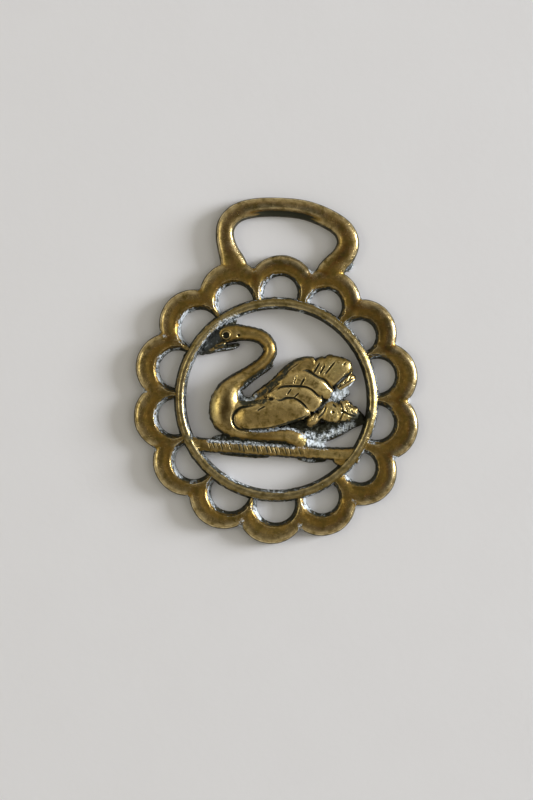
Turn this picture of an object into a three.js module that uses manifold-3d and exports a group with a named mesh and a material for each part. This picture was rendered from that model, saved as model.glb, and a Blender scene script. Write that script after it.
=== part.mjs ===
// A cast brass harness pendant: a swimming swan in a ring, inside a pierced scalloped border,
// with a loop above for a strap. It is one casting, flat behind, and so one solid.
// Millimetres. +Z is up out of the decorated face, +Y runs from the ring towards the strap loop.
// The origin is the ring's centre, on the flat back.

import * as THREE from "three";
import { mergeVertices } from "three/addons/utils/BufferGeometryUtils.js";
import Module from "manifold-3d";

const wasm = await Module();
wasm.setup();

const { degToRad, euclideanModulo, lerp } = THREE.MathUtils;
const FULL_TURN = 2 * Math.PI;

// ---- driving dimensions ----

const plateTop = 2.8; // border and strap loop, back to face
const plateShoulder = 1.7; // height at which their rounded edges begin
const edgeRound = 1.0; // how far in from the outline the rounding reaches
const castDraft = 0.25; // every pierced wall leans in by this towards the back

const ringOuter = 23.9;
const ringInner = 21.8;
const ringTop = 3.5;
const ringShoulder = 2.1;

const lobeCount = 14;
const lobeRadius = 8.3; // of a scallop's outer arc
const lobeCentre = 26.0; // from the ring's centre to the middle of that arc
const lobeOutOfRound = 0.45; // the wreath is a little longer across one diagonal
const longDiagonal = degToRad(135);
const lobeCrowding = degToRad(1.7); // how far the scallops bunch towards the loop

const holeRadius = 4.45;
const holeCentre = 25.1;
const holeSpread = 0.35; // the holes grow towards the lower left
const largestHoleAt = degToRad(230);
const chokedHole = 5; // this one, counted clockwise from the top, is cast smaller
const chokedShare = 0.76;

const groundTop = 3.0;
const figureShoulder = 2.0; // the swan's edges rise this high before they round over
const wingSquareness = 0.5; // its feathers are flatter on top than its neck
const featherShoulder = 2.8;
const featherTop = 3.8;
const flashTop = 1.6; // thin metal left between the figure and the ring
const flashShoulder = 1.3;

const eyeAt = [-12.5, 14.6];
const eyeRadius = 1.1;
const eyeTop = 3.6;
const pupilRadius = 0.75;
const pupilDepth = 0.7;

// How finely curves are cut.
const arcSteps = 9; // along one scallop
const cornerSteps = 3; // round one edge
const holeSegments = 18;
const ringSegments = 56;
const eyeSegments = 12;

const beyond = 1; // a cutter runs this far past what it cuts
const bluntTip = 0.12; // a rounded end starts at this share of its bar's size

// ---- solids ----

// A three.js geometry as a manifold-3d solid.
function solid(geometry) {
  const bare = geometry.index ? geometry.toNonIndexed() : geometry.clone();
  bare.deleteAttribute("normal");
  bare.deleteAttribute("uv");
  const merged = mergeVertices(bare, 1e-4);
  return new wasm.Manifold(
    new wasm.Mesh({
      numProp: 3,
      vertProperties: merged.getAttribute("position").array,
      triVerts: new Uint32Array(merged.index.array),
    }),
  );
}

const join = (solids) => solids.reduce((whole, piece) => whole.add(piece));

// A manifold-3d solid as a three.js geometry.
function geometryOf(body) {
  const { vertProperties, triVerts, numProp } = body.getMesh();
  const points = new THREE.BufferAttribute(new Float32Array(vertProperties), numProp);
  const geometry = new THREE.BufferGeometry().setAttribute("position", points);
  geometry.setIndex(new THREE.BufferAttribute(new Uint32Array(triVerts), 1));
  geometry.computeVertexNormals();
  return geometry;
}

// A closed profile of [radius, height] pairs turned about +Z and set down at x, y.
function turned(profile, segments, x = 0, y = 0) {
  const points = profile.map(([radius, height]) => new THREE.Vector2(radius, height));
  const geometry = new THREE.LatheGeometry(points, segments);
  geometry.rotateX(Math.PI / 2).translate(x, y, 0);
  return solid(geometry);
}

// The quarter ellipse from [radius, low] to [radius - reach, high], as profile points.
function roundedCorner(radius, low, reach, high) {
  return Array.from({ length: cornerSteps + 1 }, (_, i) => {
    const turn = (Math.PI / 2) * (i / cornerSteps);
    return [radius - reach * (1 - Math.cos(turn)), low + (high - low) * Math.sin(turn)];
  });
}

// ---- bent bars: the strap loop, the ground line and every part of the swan ----

// The section of a bar, 1 in half-width: -1 high at its flat foot, 0 at its shoulder and 1 at its crest.
function barSection(topPoints) {
  const section = new THREE.Shape();
  section.moveTo(-1, -1);
  section.lineTo(1, -1);
  for (let i = 0; i < topPoints; i++) {
    const turn = Math.PI * (i / (topPoints - 1));
    section.lineTo(Math.cos(turn), Math.sin(turn));
  }
  section.closePath();
  return section;
}

// How far a bar has swelled at t, where its two ends are rounded over the given shares of its length.
function endSwell(t, [startShare, endShare]) {
  const fromStart = startShare > 0 ? t / startShare : 1;
  const fromEnd = endShare > 0 ? (1 - t) / endShare : 1;
  const near = Math.min(fromStart, fromEnd, 1);
  return Math.max(bluntTip, Math.sqrt(1 - (1 - near) ** 2));
}

// A bar whose stations are [x, y, half-width, crest height]: the section is extruded in even steps, then bent
// along the stations and sized to them. round gives the shares of its length taken up by rounded ends.
// squareness is the top's power: 1 for a half ellipse, less for a flatter crest.
function bentBar(stations, options = {}) {
  const { shoulder = figureShoulder, round = [0, 0], steps = 10, topPoints = 6, squareness = 0.8 } = options;
  const spine = new THREE.CatmullRomCurve3(stations.map(([x, y]) => new THREE.Vector3(x, y, 0)));
  const sizes = new THREE.CatmullRomCurve3(stations.map(([, , w, h]) => new THREE.Vector3(w, h, 0)));
  const geometry = new THREE.ExtrudeGeometry(barSection(topPoints), { depth: 1, steps, bevelEnabled: false });
  const crowdedEnds = Math.max(...round) > 0 ? 0.8 : 0;
  const position = geometry.getAttribute("position");
  for (let i = 0; i < position.count; i++) {
    const even = position.getZ(i);
    const t = lerp(even, (1 - Math.cos(Math.PI * even)) / 2, crowdedEnds);
    const centre = spine.getPoint(t);
    const tangent = spine.getTangent(t);
    const { x: halfWidth, y: crest } = sizes.getPoint(t);
    const swell = endSwell(t, round);
    const across = position.getX(i);
    const up = position.getY(i);
    const atFoot = up < 0;
    const reach = across * (halfWidth * swell + (atFoot ? castDraft : 0));
    const rise = Math.abs(up) ** squareness * swell;
    position.setXYZ(
      i,
      centre.x - tangent.y * reach,
      centre.y + tangent.x * reach,
      atFoot ? 0 : shoulder + (crest - shoulder) * rise,
    );
  }
  return solid(geometry);
}

// ---- border ----

// Where scallop number k stands round the ring, clockwise from +Y.
function scallop(k) {
  const even = (FULL_TURN * k) / lobeCount;
  const angle = even - lobeCrowding * Math.sin(even);
  const stretch = lobeOutOfRound * Math.cos(2 * (angle - longDiagonal));
  const at = (radius) => [(radius + stretch) * Math.sin(angle), (radius + stretch) * Math.cos(angle)];
  return { angle, at };
}

// Where the arcs of two neighbouring scallops meet, on the outside.
function notch([ax, ay], [bx, by]) {
  const apart = Math.hypot(bx - ax, by - ay);
  const rise = Math.sqrt(lobeRadius ** 2 - (apart / 2) ** 2) / apart;
  return [(ax + bx) / 2 - (by - ay) * rise, (ay + by) / 2 + (bx - ax) * rise];
}

function scallopedOutline() {
  const points = [];
  for (let k = 0; k < lobeCount; k++) {
    const [before, here, after] = [k - 1, k, k + 1].map((i) => scallop(i).at(lobeCentre));
    const [from, to] = [notch(before, here), notch(here, after)];
    const start = Math.atan2(from[1] - here[1], from[0] - here[0]);
    const end = Math.atan2(to[1] - here[1], to[0] - here[0]);
    const sweep = euclideanModulo(start - end, FULL_TURN);
    for (let i = 0; i < arcSteps; i++) {
      const turn = start - (sweep * i) / arcSteps;
      const [x, y] = [here[0] + lobeRadius * Math.cos(turn), here[1] + lobeRadius * Math.sin(turn)];
      points.push(new THREE.Vector2(x, y));
    }
  }
  return new THREE.Shape(points);
}

// A round cutter whose mouth flares out, so that the hole it leaves has a rounded edge.
function holePunch(k) {
  const { angle, at } = scallop(k);
  const share = k === chokedHole ? chokedShare : 1;
  const radius = share * (holeRadius + holeSpread * Math.cos(angle - largestHoleAt));
  const mouth = roundedCorner(radius + edgeRound, plateTop, edgeRound, plateShoulder);
  const profile = [
    [0, -beyond],
    [radius - castDraft, -beyond],
    [radius - castDraft, 0],
    ...mouth.reverse(),
    [radius + edgeRound, plateTop + beyond],
    [0, plateTop + beyond],
  ];
  return turned(profile, holeSegments, ...at(holeCentre));
}

function border() {
  const plate = new THREE.ExtrudeGeometry(scallopedOutline(), {
    depth: 2 * plateShoulder,
    bevelThickness: plateTop - plateShoulder,
    bevelSize: edgeRound,
    bevelOffset: -edgeRound,
    bevelSegments: cornerSteps,
  });
  plate.translate(0, 0, -plateShoulder);
  const underside = new THREE.BoxGeometry(4 * ringOuter, 4 * ringOuter, 2 * plateTop);
  underside.translate(0, 0, -plateTop);
  const wellRadius = (ringInner + ringOuter) / 2;
  const wellProfile = [
    [0, -beyond],
    [wellRadius, -beyond],
    [wellRadius, plateTop + beyond],
    [0, plateTop + beyond],
  ];
  const punches = Array.from({ length: lobeCount }, (_, k) => holePunch(k));
  return solid(plate).subtract(join([solid(underside), turned(wellProfile, ringSegments), ...punches]));
}

function ring() {
  const middle = (ringOuter + ringInner) / 2;
  const half = (ringOuter - ringInner) / 2;
  const foot = half + castDraft / 2;
  const crown = Array.from({ length: 5 }, (_, i) => {
    const turn = (Math.PI / 4) * i;
    return [middle + half * Math.cos(turn), ringShoulder + (ringTop - ringShoulder) * Math.sin(turn)];
  });
  return turned([[middle + foot, 0], ...crown, [middle - foot, 0], [middle + foot, 0]], ringSegments);
}

// ---- strap loop ----

function strapLoop() {
  const stations = [
    [-10.6, 28.6, 3.2, plateTop],
    [-11.6, 31.8, 2.9, plateTop],
    [-13.0, 35.0, 2.25, plateTop],
    [-13.9, 38.3, 2.0, plateTop],
    [-13.4, 41.4, 2.0, plateTop],
    [-11.0, 43.9, 2.05, plateTop],
    [-6.6, 45.2, 2.05, plateTop],
    [-0.8, 45.5, 2.1, plateTop],
    [5.0, 45.1, 2.15, plateTop],
    [10.2, 43.4, 2.2, plateTop],
    [14.0, 41.0, 2.3, plateTop],
    [15.4, 37.8, 2.5, plateTop],
    [14.3, 34.5, 2.6, plateTop],
    [11.8, 31.4, 2.9, plateTop],
    [10.4, 28.6, 3.2, plateTop],
  ];
  return bentBar(stations, { shoulder: plateShoulder, steps: 27, squareness: 0.7 });
}

// ---- ground line under the swan ----

function ground() {
  const stations = [
    [-19.5, -11.4, 1.5, groundTop],
    [-10.0, -11.7, 1.35, groundTop],
    [4.0, -12.1, 1.25, groundTop],
    [19.2, -12.4, 1.5, groundTop],
  ];
  return bentBar(stations, { steps: 6 });
}

// ---- the swan ----

// One swelling line runs from the head, down the neck, round the breast and under the belly to the thigh.
function bodyLine() {
  const stations = [
    [-14.2, 13.9, 1.3, 2.9],
    [-12.4, 15.0, 1.9, 3.3],
    [-10.4, 15.4, 1.85, 3.5],
    [-8.2, 15.4, 1.65, 3.4],
    [-5.6, 15.1, 1.5, 3.4],
    [-3.2, 14.0, 1.5, 3.5],
    [-1.9, 11.6, 1.45, 3.6],
    [-3.1, 9.0, 1.4, 3.6],
    [-6.0, 6.6, 1.35, 3.7],
    [-9.2, 4.3, 1.6, 3.9],
    [-11.7, 1.8, 2.2, 4.3],
    [-12.9, -1.4, 2.9, 4.7],
    [-12.2, -4.9, 2.9, 4.6],
    [-9.6, -7.4, 2.1, 4.1],
    [-6.0, -8.4, 1.5, 3.7],
    [-2.0, -8.5, 1.5, 3.6],
    [2.6, -8.4, 1.8, 3.8],
    [5.4, -9.2, 1.5, 3.7],
    [8.2, -10.6, 0.7, 3.0],
  ];
  return bentBar(stations, { steps: 41, round: [0.03, 0.05] });
}

function bill() {
  const stations = [
    [-13.2, 14.2, 1.7, 2.6],
    [-15.4, 12.3, 1.5, 2.4],
    [-17.9, 10.6, 0.7, 2.1],
  ];
  return bentBar(stations, { steps: 5, topPoints: 5, shoulder: 1.7 });
}

// A raised rim round the eye, and the pit inside it.
function withEye(head) {
  const rim = [
    [0, figureShoulder],
    [eyeRadius, figureShoulder],
    [eyeRadius, eyeTop - 0.3],
    [pupilRadius + 0.1, eyeTop],
    [0, eyeTop],
  ];
  const pit = [
    [0, eyeTop - pupilDepth],
    [0.6 * pupilRadius, eyeTop - pupilDepth],
    [pupilRadius, eyeTop + beyond],
    [0, eyeTop + beyond],
  ];
  return head.add(turned(rim, eyeSegments, ...eyeAt)).subtract(turned(pit, eyeSegments, ...eyeAt));
}

// The side of the body that shows between the neck and the wing.
function flank() {
  const stations = [
    [-12.0, -2.4, 2.2, 4.2],
    [-8.4, -2.2, 1.7, 4.1],
    [-5.2, -1.6, 1.4, 3.9],
    [-2.0, 0.2, 1.2, 3.7],
  ];
  return bentBar(stations, { steps: 7, topPoints: 5, round: [0.1, 0.1] });
}

// The folded wing is a stack of overlapping bands, from the smooth covert, the highest, to the back band.
function wing() {
  const covert = [
    [-9.9, -4.7, 2.2, 4.5],
    [-6.5, -4.4, 2.95, 4.9],
    [-2.0, -3.5, 3.55, 5.0],
    [2.5, -2.5, 3.1, 4.9],
    [6.0, -2.5, 2.0, 4.7],
    [8.2, -3.0, 0.8, 4.3],
  ];
  const middleBand = [
    [-2.2, 0.6, 0.9, 4.0],
    [1.2, 1.2, 1.7, 4.3],
    [4.8, 1.3, 2.1, 4.5],
    [7.8, 0.1, 2.1, 4.5],
    [10.3, -1.6, 1.9, 4.3],
  ];
  const outerBand = [
    [0.2, 2.9, 1.2, 3.8],
    [3.8, 4.6, 2.2, 4.1],
    [7.3, 4.8, 2.4, 4.3],
    [10.6, 3.2, 2.2, 4.4],
    [12.8, 1.3, 1.5, 4.2],
  ];
  const backBand = [
    [-5.6, -0.2, 1.0, 3.5],
    [-2.7, 1.5, 1.4, 3.5],
    [0.4, 3.6, 1.6, 3.5],
    [3.1, 6.3, 1.7, 3.6],
    [5.6, 8.1, 1.9, 3.6],
    [8.4, 8.4, 1.7, 3.5],
  ];
  const squareness = wingSquareness;
  return join([
    bentBar(covert, { steps: 13, topPoints: 8, round: [0.16, 0.1], squareness, shoulder: 3.4 }),
    bentBar(middleBand, { steps: 9, round: [0.1, 0.06], squareness, shoulder: 3.3 }),
    bentBar(outerBand, { steps: 9, round: [0.1, 0.08], squareness, shoulder: 3.0 }),
    bentBar(backBand, { steps: 10, round: [0.08, 0.08] }),
  ]);
}

// The long feathers behind the wing lie side by side. Each is its root, tip and half-width.
const tipFeathers = [
  [[8.2, 5.4], [11.0, 10.2], 1.7],
  [[9.8, 5.2], [13.2, 10.8], 1.7],
  [[11.0, 4.6], [15.2, 10.0], 1.7],
  [[12.2, 4.0], [17.0, 8.8], 1.6],
  [[13.6, 2.6], [18.2, 6.4], 1.1],
];

// The ruffled tail, and the tuft of down between it and the wing.
const tailFeathers = [
  [[11.8, -5.0], [13.6, 0.3], 1.9],
  [[13.0, -4.8], [15.3, -0.9], 1.7],
  [[14.4, -3.6], [17.6, 0.0], 1.6],
  [[14.6, -3.7], [19.4, -2.0], 1.6],
  [[10.6, -3.2], [6.6, -6.2], 1.3],
  [[9.4, -4.8], [11.8, -3.4], 1.5],
];

function feather([root, tip, halfWidth]) {
  const middle = [lerp(root[0], tip[0], 0.5), lerp(root[1], tip[1], 0.5)];
  const stations = [
    [...root, 0.8 * halfWidth, featherTop],
    [...middle, halfWidth, featherTop + 0.1],
    [...tip, 0.8 * halfWidth, featherTop - 0.3],
  ];
  const shape = { steps: 6, topPoints: 5, round: [0.2, 0.25] };
  return bentBar(stations, { ...shape, shoulder: featherShoulder, squareness: wingSquareness });
}

// Low metal that ties the figure to the ring. Each web is a run of [x, y, half-width].
const webs = {
  bill: [[-19.0, 9.9, 0.9], [-17.4, 12.6, 1.9], [-15.2, 15.4, 1.9], [-12.3, 17.6, 1.3], [-10.6, 18.9, 0.8]],
  thigh: [[0.5, -6.4, 1.2], [5.0, -6.9, 1.9], [9.0, -7.9, 2.5]],
  tail: [[8.0, -7.8, 2.4], [14.0, -6.5, 1.9], [18.0, -4.7, 1.9], [21.2, -3.2, 2.0]],
  wingTip: [[9.0, -2.2, 1.0], [11.5, -0.4, 1.5], [14.3, 1.6, 1.4], [16.6, 3.6, 0.9]],
  ground: [[-20.0, -10.2, 0.9], [-13.0, -9.8, 1.2], [-2.0, -10.2, 0.9], [12.0, -10.8, 0.8]],
  neck: [[-9.6, -0.6, 0.8], [-7.0, -0.9, 0.8], [-4.2, 0.6, 0.9]],
};

function flash(web) {
  const stations = web.map(([x, y, halfWidth]) => [x, y, halfWidth, flashTop]);
  return bentBar(stations, { steps: 3 * (web.length - 1), topPoints: 3, shoulder: flashShoulder });
}

// ---- the casting ----

const casting = join([
  border(),
  ring(),
  strapLoop(),
  ground(),
  withEye(bodyLine()),
  bill(),
  flank(),
  wing(),
  ...tipFeathers.map(feather),
  ...tailFeathers.map(feather),
  ...Object.values(webs).map(flash),
]);

const brass = new THREE.MeshStandardMaterial({ color: 0x8a6a30, roughness: 0.38, metalness: 1 });

const horseBrass = new THREE.Mesh(geometryOf(casting), brass);
horseBrass.name = "horse_brass";

const part = new THREE.Group();
part.add(horseBrass);

export default part;
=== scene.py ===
import math
import bpy
import bmesh
import numpy as np
from mathutils import Matrix, Vector, noise


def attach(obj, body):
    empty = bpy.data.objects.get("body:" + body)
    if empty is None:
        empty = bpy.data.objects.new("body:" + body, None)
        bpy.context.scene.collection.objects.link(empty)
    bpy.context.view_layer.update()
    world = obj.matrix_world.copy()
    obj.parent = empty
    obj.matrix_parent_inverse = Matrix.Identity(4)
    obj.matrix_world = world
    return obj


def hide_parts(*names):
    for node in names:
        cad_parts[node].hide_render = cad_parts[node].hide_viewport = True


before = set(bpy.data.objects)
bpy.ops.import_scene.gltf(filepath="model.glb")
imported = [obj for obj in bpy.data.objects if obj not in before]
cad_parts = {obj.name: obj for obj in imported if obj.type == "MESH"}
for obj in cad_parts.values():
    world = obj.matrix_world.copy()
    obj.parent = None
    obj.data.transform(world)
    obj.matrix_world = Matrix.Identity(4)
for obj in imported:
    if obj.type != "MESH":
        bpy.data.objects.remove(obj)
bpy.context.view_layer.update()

mm = 0.001  # shapes are drawn in millimetres and brought to metres at the end
under = -1.0  # every form reaches this low before the back is cut flat


def pathThrough(points, count):
    # a smooth run through the points, as many numbers wide as they are, evenly spaced along x and y
    pts = np.array(points, float)
    padded = np.vstack([2 * pts[0] - pts[1], pts, 2 * pts[-1] - pts[-2]])
    fine = []
    for i in range(len(pts) - 1):
        a, b, c, d = padded[i:i + 4]
        for s in np.linspace(0, 1, 24, endpoint=False):
            fine.append(0.5 * (2 * b + (c - a) * s + (2 * a - 5 * b + 4 * c - d) * s ** 2
                               + (3 * b - a - 3 * c + d) * s ** 3))
    fine = np.array(fine + [pts[-1]])
    along = np.concatenate([[0], np.cumsum(np.hypot(*np.diff(fine[:, :2], axis=0).T))])
    even = np.linspace(0, along[-1], count)
    return np.stack([np.interp(even, along, column) for column in fine.T], 1)


def power(value, exponent):
    return math.copysign(abs(value) ** exponent, value)


def castForm(bm, stations, rings=40, around=28, shoulder=2.0, square=0.8, startRound=0.0, endRound=0.0):
    # one swelling form of the relief: a sphere drawn out along the stations, which are
    # x, y, half-width and crest height, with a flat foot under the back plane
    footSpread, footTurn, leastSwell, tip = 0.4, 0.5, 0.05, 1e-6
    made = bmesh.ops.create_uvsphere(bm, u_segments=around, v_segments=rings, radius=1.0)
    last = rings * 4
    path = pathThrough(stations, last + 1)
    heading = np.gradient(path[:, :2], axis=0)
    heading /= np.linalg.norm(heading, axis=1)[:, None]
    for v in made["verts"]:
        t = math.acos(max(-1.0, min(1.0, -v.co.z))) / math.pi
        turn = math.atan2(v.co.y, v.co.x)
        x, y, wide, crest = path[round(t * last)]
        hx, hy = heading[round(t * last)]
        near = min(t / startRound if startRound else 1.0, (1 - t) / endRound if endRound else 1.0, 1.0)
        swell = math.sqrt(max(0.0, 1 - (1 - near) ** 2))
        if t < tip or t > 1 - tip:
            swell = 0.0
        c, s = math.cos(turn), math.sin(turn)
        if s >= 0:
            across = c * wide * swell
            z = shoulder + (crest - shoulder) * power(s, square) * max(swell, leastSwell)
        else:
            drop = min(1.0, -s / footTurn)
            across = power(c, 0.5) * (wide * swell + footSpread * drop)
            z = shoulder + (under - shoulder) * drop
        if swell == 0:
            across = 0.0
            z = 0.5 * shoulder
        v.co = (x - hy * across, y + hx * across, z)


def spunForm(bm, profile, x, y, steps):
    # a closed profile of radius and height turned about an upright axis at x, y
    verts = [bm.verts.new((x + r, y, z)) for r, z in profile]
    edges = [bm.edges.new(pair) for pair in zip(verts, verts[1:])]
    if profile[0][0] > 0:
        edges.append(bm.edges.new((verts[-1], verts[0])))
    bmesh.ops.spin(bm, geom=verts + edges, cent=(x, y, 0), axis=(0, 0, 1), angle=2 * math.pi, steps=steps,
                   use_merge=True)
    bmesh.ops.remove_doubles(bm, verts=bm.verts, dist=1e-5)


def newObject(name, data):
    obj = bpy.data.objects.new(name, data)
    bpy.context.scene.collection.objects.link(obj)
    return obj


def toBmesh(mesh):
    bm = bmesh.new()
    bm.from_mesh(mesh)
    return bm


def settled(obj):
    # the object's mesh with its modifiers worked in, and the object gone
    graph = bpy.context.evaluated_depsgraph_get()
    mesh = bpy.data.meshes.new_from_object(obj.evaluated_get(graph))
    bpy.data.objects.remove(obj)
    return mesh


def fused(bm, name, voxel):
    # overlapping forms melted into one skin
    bmesh.ops.recalc_face_normals(bm, faces=bm.faces)
    mesh = bpy.data.meshes.new(name)
    bm.to_mesh(mesh)
    bm.free()
    obj = newObject(name, mesh)
    melt = obj.modifiers.new("melt", "REMESH")
    melt.mode = "VOXEL"
    melt.voxel_size = voxel
    melt.use_smooth_shade = True
    return settled(obj)


def joined(first, second, operation, name):
    # one skin cut by, or grown together with, another
    a, b = newObject(name, first), newObject(name + "Tool", second)
    cut = a.modifiers.new("join", "BOOLEAN")
    cut.operation = operation
    cut.solver = "MANIFOLD"
    cut.object = b
    mesh = settled(a)
    bpy.data.objects.remove(b)
    return mesh


# border of scallops
border = {
    "lobes": 14, "radius": 8.24, "centre": 26.0,
    "stretch": 0.45, "stretchAt": 135, "crowding": 1.7,
    "holeRadius": 4.62, "holeCentre": 25.15, "holeSpread": 0.35, "holeSpreadAt": 230,
    # how each hole strays: sideways, outwards, wider and taller
    "stray": [(-0.25, 0.1, 0.25, 0.3), (0.05, 0.1, 0.1, 0.25), (0.0, 0.0, 0.1, 0.15), (-0.5, -0.6, 0.5, 0.75),
              (-0.3, -1.1, 0.4, 0.4), (-0.25, -0.1, -0.5, -0.4), (-0.4, -0.1, -0.2, -0.2),
              (-0.75, -0.45, 0.4, 0.3),
              (-0.9, -0.3, 0.3, 0.4), (-0.65, -0.1, 0.0, -0.1), (-0.4, -0.4, -0.2, -0.5),
              (0.0, -0.8, 0.3, 0.25),
              (0.1, -0.7, 0.5, 0.4), (-0.2, -0.4, 0.2, 0.35)],
    "top": 2.8, "shoulder": 1.3, "edgeReach": 1.2, "edgeTop": 2.76,
    # run in from the edge and drop of the crown, then run and share of the dish behind it
    "crown": [(0.7, 0.0), (1.3, 0.06)], "dish": 0.36, "dishing": [(2.3, 1.0), (3.1, 0.8)], "middle": 0.6,
    "lip": 0.38, "lipDrop": 0.25, "draft": 0.6, "skew": 0.2, "skewBelow": 1,
    "punchFrom": -2, "punchStraight": 0.1, "punchTo": 5, "cutInside": 22.9, "cutFrom": -3, "cutTo": 6,
    "lobeSteps": 72, "punchSteps": 56, "cutSteps": 160, "voxel": 0.32, "punchVoxel": 0.2,
}


def scallopPlace(k, radius):
    even = 2 * math.pi * k / border["lobes"]
    angle = even - math.radians(border["crowding"]) * math.sin(even)
    radius += border["stretch"] * math.cos(2 * (angle - math.radians(border["stretchAt"])))
    return angle, radius * math.sin(angle), radius * math.cos(angle)


def corner(radius, reach, low, high, steps=7):
    turns = [math.pi / 2 * i / steps for i in range(steps + 1)]
    return [(radius - reach * (1 - math.cos(a)), low + (high - low) * math.sin(a)) for a in turns]


def makeBorder():
    p = border
    lobes = bmesh.new()
    for k in range(p["lobes"]):
        _, x, y = scallopPlace(k, p["centre"])
        crown = p["radius"] - p["edgeReach"]
        profile = [(0, under), (p["radius"], under)]
        profile += corner(p["radius"], p["edgeReach"], p["shoulder"], p["edgeTop"])
        profile += [(crown - run, p["top"] - drop) for run, drop in p["crown"]]
        profile += [(crown - run, p["top"] - share * p["dish"]) for run, share in p["dishing"]]
        profile.append((0, p["top"] - p["middle"] * p["dish"]))
        spunForm(lobes, profile, x, y, p["lobeSteps"])
    body = fused(lobes, "border", p["voxel"])
    cutters = bmesh.new()
    for k, (sideways, outwards, wider, taller) in enumerate(p["stray"]):
        angle, x, y = scallopPlace(k, p["holeCentre"])
        radius = p["holeRadius"] + p["holeSpread"] * math.cos(angle - math.radians(p["holeSpreadAt"]))
        foot, size = radius - p["draft"], radius + p["lip"]
        mouthTop = p["top"] - p["lipDrop"]
        mouth = corner(size, p["lip"], mouthTop, mouthTop - p["lip"])[::-1]
        profile = [(0, p["punchFrom"]), (foot, p["punchFrom"]), (foot, p["punchStraight"])] + mouth
        profile += [(size, p["punchTo"]), (0, p["punchTo"])]
        punch = bmesh.new()
        spunForm(punch, profile, 0, 0, p["punchSteps"])
        bmesh.ops.scale(punch, vec=(1 + wider / size, 1 + taller / size, 1), verts=punch.verts)
        bmesh.ops.translate(punch, vec=(sideways, outwards, 0), verts=punch.verts)
        bmesh.ops.rotate(punch, cent=(0, 0, 0), matrix=Matrix.Rotation(-angle, 3, "Z"), verts=punch.verts)
        bmesh.ops.translate(punch, vec=(x, y, 0), verts=punch.verts)
        low = [v for v in punch.verts if v.co.z < p["skewBelow"]]
        bmesh.ops.translate(punch, vec=(p["skew"], 0, 0), verts=low)
        one = bpy.data.meshes.new("punch")
        punch.to_mesh(one)
        punch.free()
        cutters.from_mesh(one)
    inside = [(0, p["cutFrom"]), (p["cutInside"], p["cutFrom"]), (p["cutInside"], p["cutTo"]), (0, p["cutTo"])]
    spunForm(cutters, inside, 0, 0, p["cutSteps"])
    bmesh.ops.recalc_face_normals(cutters, faces=cutters.faces)
    tool = bpy.data.meshes.new("punches")
    cutters.to_mesh(tool)
    cutters.free()
    return joined(body, fused(toBmesh(tool), "punches", p["punchVoxel"]), "DIFFERENCE", "border")


# strap loop: x, y, half-width and height along its bar
strapLoop = {
    "stations": [
        (-10.6, 28.6, 3.2, 2.7), (-11.6, 31.8, 2.9, 2.8), (-13.0, 35.0, 2.25, 2.85), (-13.9, 38.3, 2.0, 2.85),
        (-13.4, 41.4, 2.05, 2.85), (-11.0, 43.9, 2.1, 2.85), (-6.6, 45.25, 2.1, 2.8), (-0.8, 45.6, 2.1, 2.8),
        (5.0, 45.15, 2.15, 2.8), (10.2, 43.4, 2.2, 2.85), (14.0, 41.0, 2.3, 2.85), (15.4, 37.8, 2.5, 2.85),
        (14.3, 34.5, 2.6, 2.8), (11.8, 31.4, 2.9, 2.8), (10.4, 28.6, 3.2, 2.7)],
    "shoulder": 1.5, "square": 0.62,
    # where a strap has worn the inner edge down
    "worn": [(-9.6, 42.2), (-7.0, 42.9), (-3.0, 43.35), (2.0, 43.3), (6.5, 42.5), (9.6, 41.3)],
    "wornLow": 1.3, "wornSlope": 0.8, "wornReach": 1.9, "wornEnds": 0.3, "wornFrom": (36, 0.6),
    "chip": (15.9, 31.6, 0.9, 0.8),  # x, y, reach and the height it starts from
}


ringBand = {
    "outer": 23.9, "inner": 21.8, "top": 3.5, "wallTop": 2.1, "wallLean": 0.05, "foot": 0.4,
    "slopes": (0.85, 0.62, 0.38, 0.4),  # run and drop of the outer slope, then of the inner one
    "groove": (22.9, 0.16, 0.03, 0.22),  # radius, width, depth and tint
    "grooveRuns": ((8, 25, 75, 92), (195, 215, 320, 345)),  # where each run comes in and fades, in degrees
    "steps": 220, "voxel": 0.22,
}

ground = {
    "stations": [(-20.6, -11.3, 1.9, 3.0), (-17.5, -11.5, 1.5, 3.0), (-10.0, -11.75, 1.35, 3.05),
                 (4.0, -12.1, 1.3, 3.05),
                 (15.5, -12.3, 1.35, 3.0), (20.6, -12.3, 2.1, 3.0)],
    # slanting notches like a rope along its upper edge
    "ropeFrom": -15.3, "ropeTo": 15.0, "ropePitch": 0.96, "ropeSlant": 0.75, "ropeAt": (-10, -11.55),
    "ropeFall": 0.028, "ropeWidth": 0.17, "ropeWiden": 0.05, "ropeDepth": 0.15, "ropeFade": (0.62, 0.85),
    "ropeUp": 1.15, "ropeDown": (0.75, 1.2), "ropeSeed": 7,
}


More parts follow.
